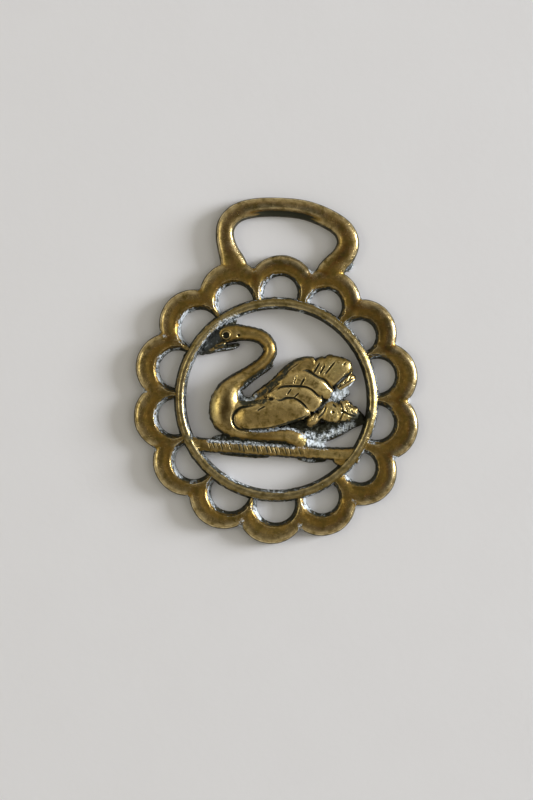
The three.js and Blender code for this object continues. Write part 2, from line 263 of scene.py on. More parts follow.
# the swan's forms: x, y, half-width and crest height
swan = {
    "body": [
        (-14.3, 13.8, 1.2, 3.0), (-12.5, 14.9, 1.9, 3.45), (-10.4, 15.35, 1.85, 3.6), (-8.2, 15.4, 1.62, 3.5),
        (-5.6, 15.1, 1.5, 3.5), (-3.3, 14.0, 1.5, 3.6), (-1.95, 11.6, 1.45, 3.7), (-3.1, 9.0, 1.4, 3.7),
        (-6.0, 6.6, 1.4, 3.8), (-9.0, 4.3, 1.75, 4.0), (-11.2, 1.8, 2.6, 4.4), (-12.0, -1.4, 3.55, 4.75),
        (-11.6, -4.9, 3.5, 4.55), (-9.5, -7.35, 2.2, 4.1), (-6.0, -8.4, 1.5, 3.7), (-2.0, -8.55, 1.45, 3.6),
        (2.6, -8.3, 1.85, 3.95), (4.6, -8.7, 2.0, 3.95), (5.7, -9.1, 1.95, 3.8), (7.3, -9.65, 1.75, 2.6),
        (9.0, -10.15, 1.2, 1.8)],
    "bill": [(-13.0, 14.4, 1.6, 2.5), (-15.2, 12.6, 1.4, 2.2), (-17.6, 11.0, 0.7, 2.0)],
    "lowerBill": [(-12.3, 12.9, 0.8, 3.1), (-14.2, 11.95, 0.75, 2.9), (-16.0, 11.0, 0.6, 2.6),
                  (-17.6, 10.4, 0.4, 2.0)],
    "throat": [(-15.2, 11.0, 0.4, 1.6), (-13.3, 11.55, 0.5, 1.6), (-11.2, 11.95, 0.5, 1.6),
               (-9.2, 12.7, 0.4, 1.6)],
    "flank": [(-12.0, -2.4, 2.2, 4.25), (-8.4, -2.2, 1.75, 4.2), (-5.2, -1.6, 1.45, 4.0),
              (-2.0, 0.2, 1.2, 3.8)],
    "covert": [(-9.7, -4.7, 2.2, 4.55), (-6.5, -4.4, 2.95, 4.9), (-2.0, -3.45, 3.5, 4.97),
               (2.5, -2.5, 3.1, 4.92),
               (6.0, -2.5, 2.0, 4.75), (8.4, -3.0, 0.8, 4.4)],
    "middleBand": [(-2.4, 0.5, 0.9, 4.0), (1.2, 1.15, 1.75, 4.35), (4.8, 1.3, 2.1, 4.5),
                   (7.8, 0.15, 2.15, 4.55),
                   (10.3, -1.5, 1.9, 4.35)],
    "outerBand": [(0.0, 2.8, 1.2, 3.85), (3.8, 4.5, 2.3, 4.2), (7.3, 4.6, 2.45, 4.45), (10.2, 3.3, 2.35, 4.4),
                  (13.2, 1.1, 1.6, 2.9)],
    "backBand": [(-5.6, -0.2, 1.0, 3.4), (-2.7, 1.5, 1.4, 3.5), (0.2, 3.7, 1.6, 3.55), (3.0, 6.4, 1.9, 3.7),
                 (5.8, 8.1, 2.0, 3.8), (9.2, 8.7, 1.7, 3.7)],
    "fan": [(9.8, 7.0, 2.0, 3.7), (12.4, 8.1, 2.6, 3.95), (15.2, 8.1, 2.35, 4.1), (17.5, 7.9, 1.6, 3.6)],
    # root, tip and half-width of each feather
    "tipFeathers": [
        ((8.6, 5.4), (11.2, 10.4), 1.7), ((9.9, 5.2), (13.5, 10.9), 1.85), ((11.0, 4.6), (15.7, 10.0), 1.95),
        ((12.0, 4.2), (17.4, 8.7), 1.75), ((13.9, 3.1), (18.3, 6.5), 1.3)],
    "tail": [
        ((12.0, -4.9), (13.6, 0.5), 2.05), ((13.0, -4.6), (15.5, -0.6), 1.9), ((14.6, -3.4), (17.6, 0.0), 1.9),
        ((14.6, -3.6), (19.7, -1.9), 1.7), ((10.5, -3.2), (7.3, -5.7), 1.25), ((9.6, -4.6), (12.6, -0.4), 0.9)],
    "voxel": 0.14,
}

# thin metal left between the figure and the ring: x, y, half-width and height
webs = [
    [(-19.0, 9.9, 0.9, 1.5), (-17.4, 12.6, 1.9, 1.6), (-15.2, 15.4, 1.9, 1.9), (-12.3, 17.6, 1.2, 1.9),
     (-10.2, 18.9, 0.6, 1.6)],
    [(0.5, -6.3, 1.2, 1.8), (5.0, -6.7, 2.2, 1.8), (9.0, -7.7, 2.5, 1.8), (14.0, -6.5, 1.9, 1.7),
     (18.0, -4.6, 1.4, 1.5), (21.2, -3.0, 1.6, 1.3)],
    [(9.0, -2.2, 1.0, 2.2), (11.5, -0.4, 1.5, 2.4), (14.3, 1.6, 1.5, 2.0), (17.0, 3.3, 1.0, 1.7)],
    [(-15.4, -10.5, 0.4, 1.3), (-13.4, -10.0, 0.8, 1.6), (-10.0, -9.9, 1.1, 2.1), (-2.0, -10.2, 0.9, 2.3),
     (8.5, -10.6, 0.9, 2.0), (12.4, -10.8, 0.7, 1.6)],
    [(-8.8, 1.8, 0.4, 1.6), (-8.3, 0.3, 0.45, 1.8), (-7.0, -0.45, 0.5, 1.9), (-5.4, -0.1, 0.5, 1.9),
     (-4.4, 1.1, 0.4, 1.8)],
    [(16.9, 33.2, 0.2, 0.8), (16.3, 32.2, 0.3, 0.9), (15.5, 31.3, 0.4, 1.1)],
    [(-13.0, -13.2, 0.25, 0.7), (-9.0, -13.4, 0.4, 0.8), (-4.0, -13.6, 0.35, 0.7), (-1.0, -13.5, 0.25, 0.6)],
    [(5.6, -13.7, 0.25, 0.6), (8.6, -14.1, 0.4, 0.8), (11.0, -14.0, 0.3, 0.7), (12.5, -13.8, 0.2, 0.6)],
    [(14.2, -13.6, 0.4, 2.6), (16.2, -14.3, 0.9, 3.1), (17.6, -14.6, 0.9, 3.2)],
    [(-1.1, 8.6, 0.35, 1.0), (-2.6, 7.2, 0.5, 1.1), (-4.6, 5.6, 0.4, 1.0), (-6.6, 4.0, 0.5, 1.2),
     (-8.4, 2.2, 0.5, 1.4)],
]

eye = {"at": (-12.5, 14.6), "rim": 1.08, "rimFall": 0.25, "rimWidth": 0.2, "pupil": 0.74, "foot": 1,
       "top": 3.65, "pit": 0.8, "moat": 0.16, "moatDepth": 0.14, "headFrom": 2.2, "steps": 32}


def makeFigure():
    p = swan
    bm = bmesh.new()
    castForm(bm, p["body"], rings=120, around=32, startRound=0.03, endRound=0.035, square=0.8)
    castForm(bm, p["bill"], rings=20, around=20, shoulder=1.7, endRound=0.2)
    castForm(bm, p["lowerBill"], rings=20, around=20, shoulder=1.9, startRound=0.3, endRound=0.2)
    castForm(bm, p["throat"], rings=24, around=16, shoulder=1.4, startRound=0.2, endRound=0.3)
    castForm(bm, p["flank"], rings=24, startRound=0.1, endRound=0.1, square=0.7)
    castForm(bm, p["covert"], rings=48, around=40, shoulder=3.4, square=0.5, startRound=0.16, endRound=0.1)
    castForm(bm, p["middleBand"], rings=36, shoulder=3.3, square=0.45, startRound=0.1, endRound=0.06)
    castForm(bm, p["outerBand"], rings=36, shoulder=2.8, square=0.55, startRound=0.1, endRound=0.16)
    castForm(bm, p["backBand"], rings=40, shoulder=2.7, square=0.55, startRound=0.08, endRound=0.05)
    castForm(bm, p["fan"], rings=30, shoulder=2.5, square=0.6, startRound=0.1, endRound=0.12)
    for root, tip, wide in p["tipFeathers"] + p["tail"]:
        mid = ((root[0] + tip[0]) / 2, (root[1] + tip[1]) / 2)
        stations = [(*root, 0.8 * wide, 3.9), (*mid, wide, 4.05), (*tip, 0.9 * wide, 3.5)]
        castForm(bm, stations, rings=24, around=24, shoulder=2.3, square=0.6, startRound=0.2, endRound=0.32)
    for web in webs:
        shoulder = 0.9 * min(station[3] for station in web)
        castForm(bm, web, rings=30, around=16, shoulder=shoulder, startRound=0.06, endRound=0.06)
    castForm(bm, ground["stations"], rings=60, around=28, square=0.6)
    e = eye
    profile = [(0, e["foot"]), (e["rim"], e["foot"]), (e["rim"], e["top"] - e["rimFall"]),
               (e["rim"] - e["rimWidth"], e["top"]), (0, e["top"])]
    spunForm(bm, profile, *e["at"], e["steps"])
    return fused(bm, "figure", p["voxel"])


def makeRing():
    bm = bmesh.new()
    r = ringBand
    # flat on top, a wide slope outside and a narrow one inside, walls that spread to the back
    outerRun, outerDrop, innerRun, innerDrop = r["slopes"]
    outerFoot, innerFoot, lean = r["outer"] + r["foot"], r["inner"] - r["foot"], r["wallLean"]
    profile = [(outerFoot, under), (outerFoot, 0), (r["outer"], r["wallTop"]),
               (r["outer"] - lean, r["top"] - outerDrop), (r["outer"] - outerRun, r["top"]),
               (r["inner"] + innerRun, r["top"]), (r["inner"] + lean, r["top"] - innerDrop),
               (r["inner"], r["wallTop"]), (innerFoot, 0), (innerFoot, under)]
    spunForm(bm, profile, 0, 0, r["steps"])
    return fused(bm, "ring", r["voxel"])


def makeLoop():
    bm = bmesh.new()
    castForm(bm, strapLoop["stations"], rings=110, around=32, shoulder=strapLoop["shoulder"],
             square=strapLoop["square"])
    return fused(bm, "loop", border["voxel"])


casting = joined(makeBorder(), makeLoop(), "UNION", "casting")
print("border and strap loop:", len(casting.vertices), "points")
casting = joined(casting, makeRing(), "UNION", "casting")
casting = joined(casting, makeFigure(), "UNION", "casting")
print("one casting of", len(casting.vertices), "points")


def flattenBack(mesh):
    bm = toBmesh(mesh)
    bmesh.ops.bisect_plane(bm, geom=bm.verts[:] + bm.edges[:] + bm.faces[:], plane_co=(0, 0, 0),
                           plane_no=(0, 0, 1), clear_inner=True)
    rim = [e for e in bm.edges if e.is_boundary]
    bmesh.ops.triangle_fill(bm, use_beauty=True, edges=rim, normal=(0, 0, -1))
    bmesh.ops.dissolve_degenerate(bm, dist=1e-4, edges=bm.edges)
    bmesh.ops.recalc_face_normals(bm, faces=bm.faces)
    print("back is flat:", len(bm.faces), "faces, open edges", sum(e.is_boundary for e in bm.edges))
    bm.to_mesh(mesh)
    bm.free()


flattenBack(casting)


# lines cut in the figure: width, depth and where they run
engraved = [
    (0.26, 0.55, [(-4.74, -1.56), (-6.52, -1.89), (-8.05, -2.16), (-9.05, -2.77), (-9.82, -3.91),
                  (-10.04, -4.81),
                  (-9.8, -6.09), (-9.12, -6.95), (-8.08, -7.42), (-6.79, -7.59)]),
    (0.30, 0.50, [(-6.79, -7.54), (-4.49, -7.44), (-2.19, -7.16), (0.09, -6.55), (2.37, -5.81), (4.64, -4.94),
                  (6.39, -3.97), (7.88, -2.88)]),
    (0.20, 0.50, [(-0.46, 0.22), (0.06, -0.06), (1.09, -0.1), (2.35, 0.47), (4.14, 0.47), (5.71, -0.28),
                  (7.05, -1.5), (7.92, -2.54)]),
    (0.30, 0.60, [(-1.7, 0.3), (-1.34, 0.0), (-0.72, 0.2)]),
    (0.20, 0.50, [(0.02, 2.16), (0.96, 2.98), (2.48, 3.22), (5.04, 3.33), (6.84, 3.23), (8.41, 2.53),
                  (9.75, 1.31), (10.93, 0.59)]),
    (0.17, 0.35, [(10.56, 1.52), (11.01, 0.52)]),
    (0.15, 0.28, [(4.47, 5.82), (3.95, 3.75)]),
    (0.20, 0.45, [(6.42, 5.34), (5.5, 3.51)]),
    (0.17, 0.40, [(3.45, 2.75), (2.45, 1.17)]),
    (0.17, 0.40, [(5.24, 1.8), (4.14, 0.63)]),
    (0.17, 0.40, [(-2.48, -1.61), (-4.48, -2.88)]),
    (0.30, 0.55, [(6.04, 7.04), (6.8, 7.2), (7.58, 6.85), (8.51, 6.25), (9.56, 5.66), (11.12, 5.03),
                  (12.47, 3.61), (13.41, 2.62)]),
    (0.22, 0.45, [(9.87, 9.19), (8.49, 6.56)]),
    (0.18, 0.40, [(11.1, 8.62), (9.99, 6.45)]),
    (0.20, 0.45, [(13.54, 9.6), (12.28, 7.91), (11.07, 6.24)]),
    (0.16, 0.30, [(15.86, 9.4), (15.33, 8.6)]),
    (0.30, 0.70, [(13.41, 2.62), (13.99, 3.93), (15.22, 5.26), (16.2, 6.33), (17.43, 7.41), (18.05, 7.82)]),
    (0.16, 0.30, [(13.79, 2.94), (16.29, 4.6), (18.15, 6.0)]),
    (0.16, 0.35, [(14.6, 3.6), (15.1, 4.4)]), (0.16, 0.35, [(15.7, 4.4), (16.2, 5.3)]),
    (0.16, 0.30, [(16.8, 5.3), (17.2, 6.2)]),
    (0.22, 0.50, [(13.29, -0.46), (14.09, -1.25)]), (0.20, 0.45, [(16.88, -0.51), (17.67, -0.91)]),
    (0.20, 0.45, [(15.02, -1.92), (16.19, -2.26), (17.5, -2.89), (18.79, -3.25)]),
    (0.16, 0.35, [(16.3, -1.4), (17.0, -2.2)]), (0.16, 0.35, [(17.6, -1.7), (18.2, -2.5)]),
    (0.22, 0.32, [(15.05, 0.38), (15.55, -1.13), (15.76, -2.4), (15.13, -4.48)]),
    (0.22, 0.35, [(11.8, -0.9), (11.2, -2.6), (9.7, -4.3)]),
    (0.15, 0.25, [(9.4, -2.9), (8.6, -4.6)]),
    (0.30, 0.65, [(13.5, -2.38), (13.52, -2.4)]),
    (0.30, 0.60, [(-9.5, 14.7), (-9.5, 14.72)]),
    (0.35, 0.55, [(-1.9, -10.45), (-0.3, -10.25)]),
    (0.16, 0.25, [(1.6, 5.9), (3.4, 7.6), (5.2, 8.9)]), (0.15, 0.2, [(-2.4, 1.3), (-0.6, 2.9), (1.0, 4.3)]),
]


def along(xy, line):
    # distance of every point from a run of straight pieces, and how far along it the nearest place is
    best, place = np.full(len(xy), 1e9), np.zeros(len(xy))
    for i, ((ax, ay), (bx, by)) in enumerate(zip(line, line[1:])):
        d = np.array([bx - ax, by - ay])
        rel = xy - (ax, ay)
        t = np.clip(rel @ d / max(d @ d, 1e-9), 0, 1)
        far = np.linalg.norm(rel - t[:, None] * d, axis=1)
        place = np.where(far < best, (i + t) / (len(line) - 1), place)
        best = np.minimum(best, far)
    return best, place


def awayFrom(xy, line):
    return along(xy, line)[0]


def step(low, high, values):
    t = np.clip((values - low) / (high - low), 0, 1)
    return t * t * (3 - 2 * t)


def noiseAt(points, wave, seed):
    shift = Vector((seed * 7.3, seed * 3.1, seed * 5.7))
    return np.fromiter((noise.noise(Vector(p) + shift) for p in points / wave), float, len(points))


count = len(casting.vertices)
co = np.empty(count * 3)
casting.vertices.foreach_get("co", co)
co = co.reshape(-1, 3)
pairs = np.empty(len(casting.edges) * 2, int)
casting.edges.foreach_get("vertices", pairs)
pairs = pairs.reshape(-1, 2)
share = 1 / np.maximum(np.bincount(pairs.ravel(), minlength=count), 1)


def blurred(values, rounds):
    # each value drawn half way to the mean of its neighbours, several times over
    out = values.astype(float)
    for _ in range(rounds):
        around = np.zeros_like(out)
        for column in range(out.shape[1]):
            around[:, column] = (np.bincount(pairs[:, 0], out[pairs[:, 1], column], count)
                                 + np.bincount(pairs[:, 1], out[pairs[:, 0], column], count)) * share
        out = 0.5 * (out + around)
    return out


def settle():
    # the points go back to the mesh, and its new normals come out
    casting.vertices.foreach_set("co", co.ravel())
    casting.update()
    out = np.empty(count * 3, np.float32)
    casting.vertex_normals.foreach_get("vector", out)
    return out.reshape(-1, 3).astype(float)


# where the parts of the casting lie, by radius, y or height
zones = {"backTop": 0.02, "border": 24.6, "borderLow": 1.0, "outside": 27.5, "loop": 30, "figure": 21.9,
         "figureWide": 22.4, "wideWithin": 14, "webs": (2.2, 2.9), "figureLow": 2.4, "calmBelow": 0.5}
# the bare metal: rounds of smoothing, then heights and waves of its unevenness
texture = {
    "smoothing": 2, "borderSmoothing": 4, "swell": (0.055, 4.5), "ripple": (0.02, 1.6), "coarseWave": 0.9,
    "grainWave": 0.38, "outerWalls": 0.10, "wallCoarse": 0.22, "wallGrain": 0.12, "webCoarse": 0.38,
    "webGrain": 0.22,
    # rougher places of the figure: x, y, reach and height
    "rougher": [(16.0, -2.2, 3.4, 0.22), (15.5, 7.6, 2.6, 0.04), (16.6, 5.2, 2.0, 0.04), (9.0, -4.9, 2.0, 0.15),
                (-2.5, 1.0, 2.2, 0.15)],
}

onBack = co[:, 2] < zones["backTop"]
soft = blurred(co, texture["smoothing"])
softer = blurred(soft, texture["borderSmoothing"])
onBorder = (np.hypot(co[:, 0], co[:, 1]) > zones["border"]) & (co[:, 2] > zones["borderLow"])
co[~onBack] = np.where(onBorder[:, None], softer, soft)[~onBack]
normals = settle()
radius = np.hypot(co[:, 0], co[:, 1])
steep = 1 - step(0.25, 0.7, normals[:, 2])
facingOut = (normals[:, 0] * co[:, 0] + normals[:, 1] * co[:, 1]) / np.maximum(radius, 1e-6)
outside = (radius > zones["outside"]) & (facingOut > 0.15) | (co[:, 1] > zones["loop"])
inFigure = (radius < zones["figureWide"]) & (np.abs(co[:, 1]) < zones["wideWithin"])
inFigure |= radius < zones["figure"]

# gentle unevenness of the polished top, rough walls left by the mould
(swell, swellWave), (ripple, rippleWave) = texture["swell"], texture["ripple"]
uneven = swell * noiseAt(co, swellWave, 1) + ripple * noiseAt(co, rippleWave, 2)
coarse = noiseAt(co, texture["coarseWave"], 3)
grain = noiseAt(co, texture["grainWave"], 4)
roughWall = np.where(outside, texture["outerWalls"], 1.0) * steep
lift = uneven + roughWall * (texture["wallCoarse"] * coarse + texture["wallGrain"] * grain)
lowWeb = inFigure * (1 - step(*zones["webs"], co[:, 2])) * (1 - steep)
lift += lowWeb * (texture["webCoarse"] * coarse + texture["webGrain"] * grain)
for x, y, reach, amount in texture["rougher"]:
    nearby = np.exp(-((co[:, 0] - x) ** 2 + (co[:, 1] - y) ** 2) / reach ** 2) * (co[:, 2] > zones["figureLow"])
    lift += nearby * amount * (coarse + 0.6 * grain)
lift *= step(0.0, zones["calmBelow"], co[:, 2]) * 0.9 + 0.1
co += normals * np.where(onBack, 0, lift)[:, None]
co[:, 2] = np.where(onBack, co[:, 2], np.maximum(co[:, 2], 0.0))
print("casting texture")

upward = np.clip(normals[:, 2] * 1.6, 0, 1)
flatXY = co[:, :2]


# how the graver cut: where it could reach, and the shape of a cut and of the burr beside it
graver = {"lowest": 1.6, "pitDepth": 0.55, "runOut": 0.22, "burr": 0.05, "burrAt": 2.2, "tintWidth": 1.15}


def engrave(width, depth, line):
    # presses a line into the metal from above, and gives the points near it and how dark it leaves them
    xs, ys = zip(*line)
    box = ((flatXY[:, 0] > min(xs) - 1) & (flatXY[:, 0] < max(xs) + 1) & (flatXY[:, 1] > min(ys) - 1)
           & (flatXY[:, 1] < max(ys) + 1) & (co[:, 2] > graver["lowest"]))
    near = np.flatnonzero(box)
    far, place = along(flatXY[near], pathThrough(line, 24) if len(line) > 2 else line)
    if len(line) == 2 and depth > graver["pitDepth"]:
        ends = 1
    else:
        ends = step(0.0, graver["runOut"], np.minimum(place, 1 - place)) * 0.75 + 0.25
    cut = depth * ends * np.exp(-(far / width) ** 2)
    cut -= graver["burr"] * depth * np.exp(-((far - graver["burrAt"] * width) / width) ** 2)
    co[near, 2] -= cut * upward[near]
    return near, np.exp(-(far / (graver["tintWidth"] * width)) ** 2) * upward[near] * (0.4 + 0.6 * ends)


cutMark = np.zeros(count)
for width, depth, line in engraved:
    near, mark = engrave(width, depth, line)
    cutMark[near] = np.maximum(cutMark[near], mark * min(1, depth / 0.4))

g = ground
rng = np.random.default_rng(g["ropeSeed"])
x = g["ropeFrom"]
while x < g["ropeTo"]:
    late = (x - g["ropeFrom"]) / (g["ropeTo"] - g["ropeFrom"])
    fade = 1 - step(*g["ropeFade"], np.array(late)) * 0.75
    y = g["ropeAt"][1] - g["ropeFall"] * (x - g["ropeAt"][0])
    wide, lean = g["ropeWidth"] + g["ropeWiden"] * late, g["ropeSlant"] * rng.uniform(0.8, 1.2)
    line = [(x - lean * 0.5, y + g["ropeUp"]), (x + lean * 0.55, y - rng.uniform(*g["ropeDown"]))]
    near, mark = engrave(wide, g["ropeDepth"] * fade * rng.uniform(0.5, 1.2), line)
    cutMark[near] = np.maximum(cutMark[near], mark * fade * rng.uniform(0.5, 1.1))
    x += g["ropePitch"] * (1 + 0.4 * late) * rng.uniform(0.88, 1.12)

# a faint groove along parts of the ring
grooveAt, grooveWidth, grooveDepth, grooveTint = ringBand["groove"]
turn = np.degrees(np.arctan2(co[:, 1], co[:, 0])) % 360
runs = sum(step(a, b, turn) * (1 - step(c, d, turn)) for a, b, c, d in ringBand["grooveRuns"])
groove = np.exp(-((radius - grooveAt) / grooveWidth) ** 2) * runs * (co[:, 2] > 3.0) * (radius < 24)
co[:, 2] -= grooveDepth * groove
cutMark = np.maximum(cutMark, groove * grooveTint)

# the eye's pit, and a moat around its rim
fromEye = np.hypot(co[:, 0] - eye["at"][0], co[:, 1] - eye["at"][1])
pit = 1 - step(eye["pupil"] - 0.14, eye["pupil"] + 0.1, fromEye)
moat = np.exp(-((fromEye - eye["rim"] - eye["moat"]) / eye["moat"]) ** 2)
head = co[:, 2] > eye["headFrom"]
co[:, 2] -= np.where(head, pit * eye["pit"] + moat * eye["moatDepth"], 0)
cutMark = np.maximum(cutMark, np.where(head, pit, 0))

# strap wear on the loop's inner edge, and a chip at its right root
w = strapLoop
fromWorn, wornPlace = along(flatXY, pathThrough(w["worn"], 30))
worn = step(0, w["wornEnds"], np.minimum(wornPlace, 1 - wornPlace))
worn *= step(0, 1, np.clip(1 - fromWorn / w["wornReach"], 0, 1) * 1.6)
worn *= (co[:, 1] > w["wornFrom"][0]) & (co[:, 2] > w["wornFrom"][1])
co[:, 2] -= worn * (co[:, 2] - w["wornLow"]) * w["wornSlope"] * (co[:, 2] > w["wornLow"])
chipX, chipY, chipReach, chipFrom = w["chip"]
chip = np.exp(-((co[:, 0] - chipX) ** 2 + (co[:, 1] - chipY) ** 2) / chipReach ** 2)
co[:, 2] = np.where(co[:, 2] > chipFrom, np.maximum(co[:, 2] - chip, 0.0), co[:, 2])
print("engraved lines, rope notches and wear")


# how the brass has aged
ageing = {
    # the relief against three blurs: where each depth starts to count, where it is full, and its weight
    "blurs": (5, 30, 130), "hollows": ((0.01, 0.06, 0.6), (0.03, 0.22, 0.8), (0.10, 0.45, 0.6)),
    "proud": ((0.004, 0.04, 0.5), (0.03, 0.2, 0.6)), "steep": (0.38, 0.88), "outerWalls": 0.8,
    # a brown band along the middle of each lobe and of the loop: part patina, part painted reflection of darker
    # surroundings
    "valleyAt": 6.75, "valleyReach": 0.95, "valleyOutside": 24.3, "lobesEnd": 33, "loopFrom": 31,
    "brownWave": 5.0, "brown": 0.72, "brownSide": 0.5,
    # pale crust on the walls of the holes and in the notches between the lobes; walls facing the light also get
    # it as a painted highlight
    "patchWaves": (2.6, 0.8), "wallCrust": 0.85, "litWallSheenAndCrust": (0.85, 0.6), "ringShare": 0.55,
    "notch": (6.6, 7.2), "notchGap": (0.5, 1.4), "notchOutside": 27, "notchCrust": (0.15, 0.6, 0.5),
    "webDirtAndShade": 0.9, "strapDirtAndShade": (0.95, 0.3, 9.0),
    # metal rubbed bright on the figure and along the ground line
    "rubbed": (3.2, 4.2), "rubbedGround": (2.75, 2.95, 0.55), "groundY": -12.0, "groundHalf": 1.6,
    "dullCovert": (0.45, 2.6, [(-7.5, -4.6), (3.0, -4.0)]),
    "ringAt": 22.85, "ringReach": 1.25, "billReach": 1.3, "bill": [(-14.3, 14.7), (-15.8, 13.2), (-17.2, 11.7)],
    # the back is plain dull casting
    "backCrust": 0.15, "backDirt": 0.3, "backHollow": 0.12, "backSteep": 0.45, "backTone": -0.45,
}

a = ageing
centres = [scallopPlace(k, border["centre"])[1:] for k in range(border["lobes"])]
lobeFar, nextFar = np.sort([np.hypot(co[:, 0] - x, co[:, 1] - y) for x, y in centres], axis=0)[:2]
normals = settle()
reliefs, level = [], co
for rounds in a["blurs"]:
    level = blurred(level, rounds)
    reliefs.append(((level - co) * normals).sum(1))
hollow = sum(step(low, high, relief) * weight for (low, high, weight), relief in zip(a["hollows"], reliefs))
hollow = np.clip(hollow, 0, 1)
proud = sum(step(low, high, -relief) * weight for (low, high, weight), relief in zip(a["proud"], reliefs))
proud = np.clip(proud, 0, 1)
# steep walls are painted dark: tarnish, and painted shade along the outlines
steep = (1 - step(*a["steep"], np.abs(normals[:, 2]))) * np.where(outside, a["outerWalls"], 1.0)
loopFar = awayFrom(flatXY, pathThrough(strapLoop["stations"], 40)[:, :2])
onLobes = (radius > a["valleyOutside"]) & (co[:, 1] < a["lobesEnd"])
valley = np.exp(-((lobeFar - a["valleyAt"]) / a["valleyReach"]) ** 2) * onLobes
valley = np.maximum(valley, np.exp(-(loopFar / a["valleyReach"]) ** 2) * (co[:, 1] > a["loopFrom"]))
# more of it toward the upper right of the border, where it is painted darker
upperRight = np.clip((1.3 * co[:, 0] + 0.6 * co[:, 1]) / 30, -1, 1)
brownShadeBand = valley * step(-0.6, 0.3, noiseAt(co, a["brownWave"], 21)) * (a["brown"] + a["brownSide"] * upperRight)

# where pale dried polish and verdigris have stayed: strength, reach and where it runs
crustLines = [
    (1.0, 0.55, [(-7.2, -7.95), (-5.24, -7.95), (-3.7, -7.8), (-1.16, -7.4), (1.38, -6.8), (2.92, -6.8),
                 (4.73, -7.12), (6.04, -7.8), (7.36, -8.6)]),
    (0.9, 0.45, [(13.3, 1.1), (11.87, -0.27), (10.63, -1.35), (9.14, -2.44)]),
    (1.9, 1.3, [(14.2, 1.6), (15.6, 2.7), (17.4, 3.9)]),
    (1.0, 1.2, [(7.8, -8.0), (10.5, -8.6), (13.0, -7.6), (16.0, -6.2), (18.0, -5.1)]),
    (1.4, 0.45, [(7.9, -9.3), (8.2, -10.2)]),
    (1.5, 0.9, [(8.6, -9.8), (10.0, -9.9), (11.8, -9.9)]),
    (0.88, 0.55, [(-15.6, -10.5), (-10.0, -10.5), (-4.0, -10.7), (2.0, -10.9), (4.6, -11.1)]),
    (0.5, 0.45, [(4.6, -11.1), (9.0, -11.1), (12.5, -11.2)]),
    (0.6, 1.0, [(-15.8, -7.0), (-14.6, -8.8), (-12.0, -9.7)]),
    (1.0, 0.6, [(-8.9, 1.6), (-8.35, 0.2), (-7.0, -0.5), (-5.5, -0.2), (-4.6, 0.9)]),
    (0.55, 0.4, [(-1.1, 8.3), (-2.6, 7.0), (-4.6, 5.4), (-6.6, 3.8), (-8.4, 2.1)]),
    (0.8, 0.9, [(-14.0, 17.2), (-12.6, 18.0), (-10.6, 18.9), (-9.6, 19.3)]),
    (0.5, 0.8, [(-18.2, 12.2), (-16.6, 14.6), (-14.6, 16.8)]),
    (0.5, 0.30, [(-14.4, 16.2), (-15.8, 14.6), (-17.3, 12.6)]),
    (0.42, 0.25, [(-14.4, 14.8), (-15.9, 13.2), (-17.4, 11.5)]),
    (0.9, 0.22, [(-14.8, 10.9), (-13.2, 11.3), (-11.2, 11.6), (-9.2, 12.1)]),
    (0.7, 1.0, [(-19.2, 9.6), (-18.2, 11.4)]),
    (0.8, 0.4, [(13.5, 2.9), (14.8, 4.9), (16.2, 6.2)]),
    (0.8, 0.5, [(7.0, -14.0), (9.5, -14.2)]),
    (1.2, 0.5, [(16.7, 32.6), (16.2, 31.9), (15.7, 31.4)]),
]
# and where the metal is painted darker: thick tarnish, and painted shade along outlines and in gaps
tarnishAndShadeLines = [
    (1.0, 0.7, [(-8.4, -1.25), (-6.5, -1.15), (-4.2, -0.8), (-2.7, -0.5)]),
    (1.0, 0.85, [(-4.3, 0.7), (-2.6, 1.95), (-0.6, 4.0), (1.35, 5.6), (2.3, 7.6)]),
    (0.9, 0.65, [(2.3, 7.6), (4.6, 9.6), (7.0, 10.4), (9.3, 10.5)]),
    (1.0, 0.35, [(17.0, 32.4), (16.8, 32.1)]),
    (1.0, 0.5, [(-15.0, 11.6), (-13.2, 12.2), (-11.2, 12.6), (-8.8, 13.1)]),
    (1.2, 1.5, [(18.6, -3.6), (20.2, -2.8), (21.6, -2.6)]),
    (0.8, 0.8, [(-21.0, -9.8), (-18.0, -9.8), (-16.0, -9.6)]),
    (0.7, 0.6, [(-4.4, 0.2), (-3.0, 0.9), (-1.6, 1.6)]),
    (1.0, 0.9, [(3.2, -5.5), (5.4, -5.8), (7.6, -6.8), (9.4, -6.6)]),
    (0.9, 0.5, [(10.2, -5.4), (12.4, -5.9), (15.0, -5.0), (18.2, -3.6), (19.6, -2.4)]),
    (0.8, 0.35, [(9.2, 10.2), (11.0, 10.9), (13.4, 11.4), (15.4, 10.9), (17.4, 10.1), (18.2, 8.4)]),
    (0.6, 0.5, [(-16.8, -8.9), (-14.0, -9.5), (-11.0, -9.6), (-6.0, -9.9)]),
]
crust = np.zeros(count)
for strength, reach, line in crustLines:
    far = awayFrom(flatXY, line)
    crust = np.maximum(crust, strength * np.exp(-(far / reach) ** 2))
crust *= np.where(inFigure, 1 - 0.85 * step(3.2, 3.7, co[:, 2]), 1)
facing = normals[:, 0]
patchWave, fleckWave = a["patchWaves"]
wallPatch = step(-0.15, 0.35, noiseAt(co, patchWave, 9) + 0.3 * noiseAt(co, fleckWave, 10))
inner = steep * (radius > 21.0) * ~outside * (normals[:, 2] > -0.6)
# crust is thinned on walls facing away from the light, which get painted shade further down
crust = np.maximum(crust, inner * wallPatch * a["wallCrust"]) * (1 - 0.6 * inner * step(0.2, 0.7, -facing))
